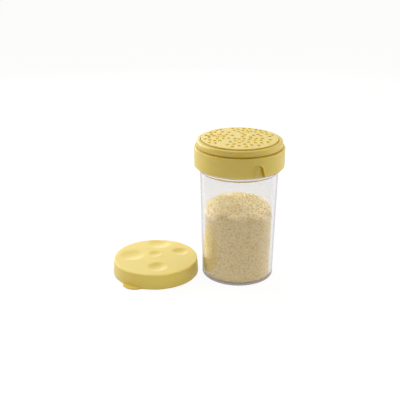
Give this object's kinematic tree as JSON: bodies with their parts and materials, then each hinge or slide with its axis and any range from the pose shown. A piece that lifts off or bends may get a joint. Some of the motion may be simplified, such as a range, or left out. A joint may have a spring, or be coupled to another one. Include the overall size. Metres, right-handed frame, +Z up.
{
  "type": "parmesan shaker",
  "caption": "Clear screw-top jar of grated cheese with a pale yellow perforated shaker top, and its dimpled snap lid lying beside it.",
  "frame": {"origin": "on the jar's axis at the middle of its base, on the table", "axes": "+Z up along the jar's axis; the lid lies on the table on the -X side of the jar; the picture looks roughly along +Y"},
  "size_m": [0.1514, 0.078, 0.1254],
  "materials": {
    "clear_plastic": "clear moulded plastic, glossy",
    "grated_cheese": "dry grated parmesan crumbs",
    "seal_rubber": "soft white silicone",
    "yellow_plastic": "pale yellow moulded plastic, satin"
  },
  "bodies": {
    "jar": {"jar": "clear_plastic", "grated_parmesan": "grated_cheese"},
    "seal": {"sealing_ring": "seal_rubber"},
    "shaker_top": {"shaker_collar": "yellow_plastic", "sprinkle_plate": "yellow_plastic"},
    "lid": {"lid": "yellow_plastic"}
  },
  "joints": [
    {"name": "top_rise", "type": "slide", "parent": "jar", "child": "seal", "axis": [0, 0, 1], "range_m": [0, 0.006]},
    {"name": "top_unscrew", "type": "hinge", "parent": "seal", "child": "shaker_top", "pos_m": [0, 0, 0.1184], "axis": [0, 0, 1], "range_deg": [0, 540]},
    {"name": "lid_lift", "type": "slide", "parent": "jar", "child": "lid", "axis": [0, 0, 1], "range_m": [0, 0.08]}
  ],
  "couplings": [
    {"joint": "top_rise", "follows": "top_unscrew", "m_per_rad": 0.00063662}
  ]
}
